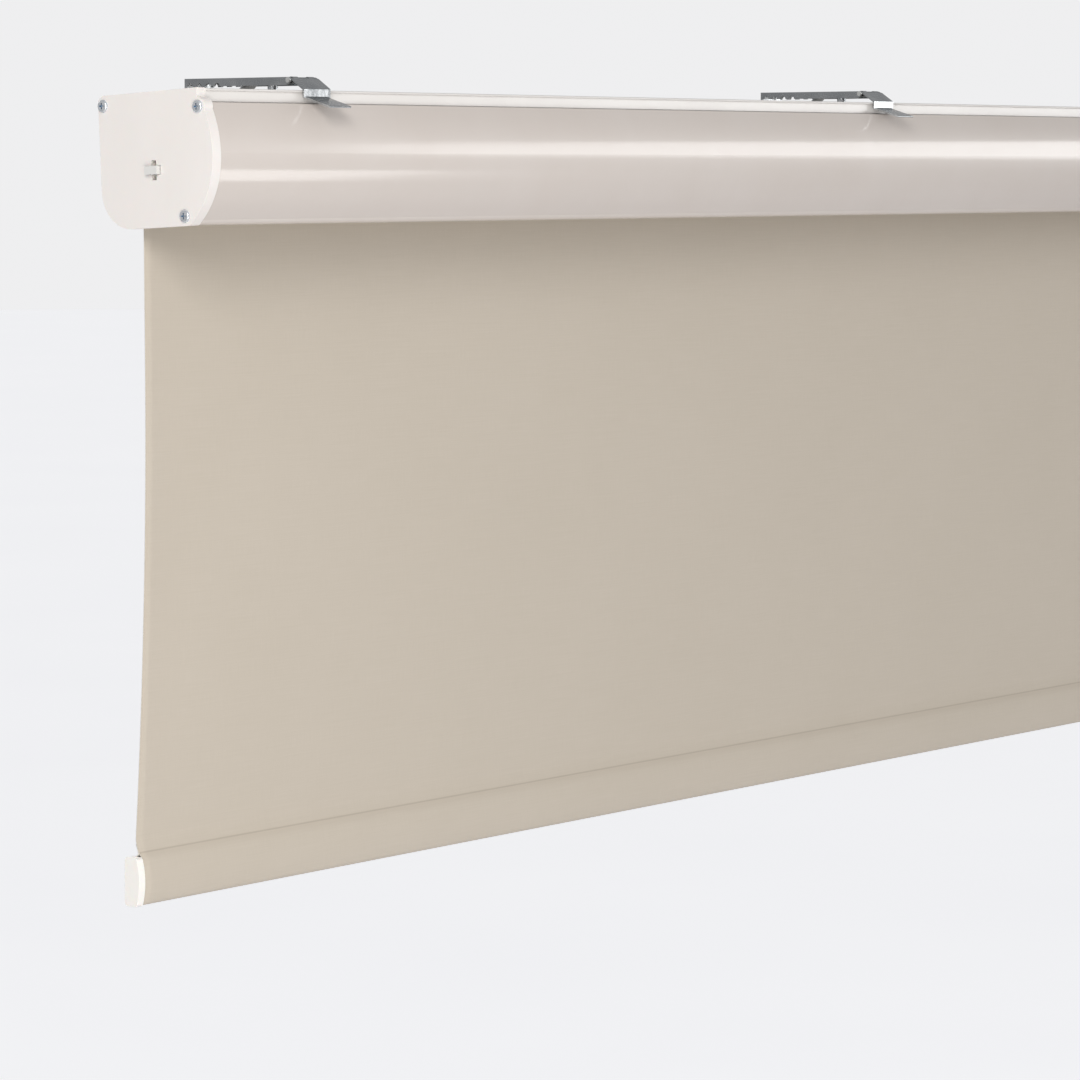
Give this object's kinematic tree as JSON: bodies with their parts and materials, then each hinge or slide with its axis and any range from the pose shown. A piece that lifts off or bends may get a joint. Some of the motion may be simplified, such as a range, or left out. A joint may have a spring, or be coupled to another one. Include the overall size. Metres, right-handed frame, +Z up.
{
  "type": "roller blind",
  "caption": "Cassette roller blind: fabric on a spring roller inside a curved head case, weighted bottom rail, hinged wall clips.",
  "frame": {"origin": "on the wall plane, midway between the two screw holes of the middle wall bracket", "axes": "+X along the blind, +Y into the wall, +Z up"},
  "size_m": [1.45, 0.1259, 0.5244],
  "materials": {
    "cap_plastic": "moulded warm white ABS, fine grain",
    "profile_white": "powder-coated white aluminium",
    "cover_cream": "semi-gloss cream powder coat",
    "screw_zinc": "bright zinc plate",
    "shaft_steel": "galvanised steel",
    "clip_chrome": "bright nickel-chrome plate on sheet steel",
    "spring_steel": "drawn spring wire",
    "tube_alu": "mill-finish aluminium tube",
    "tape_clear": "adhesive tape",
    "blackout_fabric": "taupe blackout weave, coated back",
    "nylon_grey": "glass-filled nylon",
    "nylon_white": "acetal",
    "bar_alu": "mill-finish aluminium",
    "ballast_steel": "plain steel bar",
    "rail_cap_ivory": "moulded ivory ABS"
  },
  "bodies": {
    "root": {"headrail": "profile_white", "front_cover": "cover_cream", "left_end_cap": "cap_plastic", "right_end_cap": "cap_plastic", "left_cap_screws": "screw_zinc", "right_cap_screws": "screw_zinc", "spring_spear": "nylon_white", "spring_anchor": "nylon_grey", "brake_spear": "nylon_white", "brake_hub": "nylon_grey", "torsion_spring": "spring_steel", "wrap_spring": "spring_steel", "fabric_drop": "blackout_fabric", "clip_pins": "shaft_steel", "clip_screws": "screw_zinc", "wall_bracket_left": "clip_chrome", "clip_plate_left": "clip_chrome", "clip_spring_left": "spring_steel", "wall_bracket_middle": "clip_chrome", "clip_plate_middle": "clip_chrome", "clip_spring_middle": "spring_steel", "wall_bracket_right": "clip_chrome", "clip_plate_right": "clip_chrome", "clip_spring_right": "spring_steel"},
    "roller": {"roller_tube": "tube_alu", "fixing_tape": "tape_clear", "fabric_roll": "blackout_fabric", "left_tube_plug": "nylon_grey", "right_tube_plug": "nylon_grey", "left_bush": "nylon_white", "right_bush": "nylon_white", "spring_carrier": "nylon_grey"},
    "bottom_rail": {"hem_pocket": "blackout_fabric", "bottom_bar": "bar_alu", "ballast_bar": "ballast_steel", "left_rail_cap": "rail_cap_ivory", "right_rail_cap": "rail_cap_ivory"},
    "lever_left": {"clip_lever_left": "clip_chrome"},
    "lever_middle": {"clip_lever_middle": "clip_chrome"},
    "lever_right": {"clip_lever_right": "clip_chrome"}
  },
  "joints": [
    {"name": "roller_spin", "type": "hinge", "parent": "root", "child": "roller", "pos_m": [0, -0.0649, -0.0293], "axis": [1, 0, 0], "range_deg": [-3390, 900]},
    {"name": "rail_slide", "type": "slide", "parent": "root", "child": "bottom_rail", "axis": [0, 0, 1], "range_m": [-1.45, 0.385], "deforming": ["fabric_drop"]},
    {"name": "lever_left_hinge", "type": "hinge", "parent": "root", "child": "lever_left", "pos_m": [-0.618, -0.0925, 0.0276], "axis": [-1, 0, 0], "range_deg": [0, 12], "stiffness_Nm_per_rad": 0.05, "springref_deg": -11.46},
    {"name": "lever_middle_hinge", "type": "hinge", "parent": "root", "child": "lever_middle", "pos_m": [0, -0.0925, 0.0276], "axis": [-1, 0, 0], "range_deg": [0, 12], "stiffness_Nm_per_rad": 0.05, "springref_deg": -11.46},
    {"name": "lever_right_hinge", "type": "hinge", "parent": "root", "child": "lever_right", "pos_m": [0.618, -0.0925, 0.0276], "axis": [-1, 0, 0], "range_deg": [0, 12], "stiffness_Nm_per_rad": 0.05, "springref_deg": -11.46}
  ],
  "couplings": [
    {"joint": "rail_slide", "follows": "roller_spin", "m_per_rad": 0.0245}
  ]
}
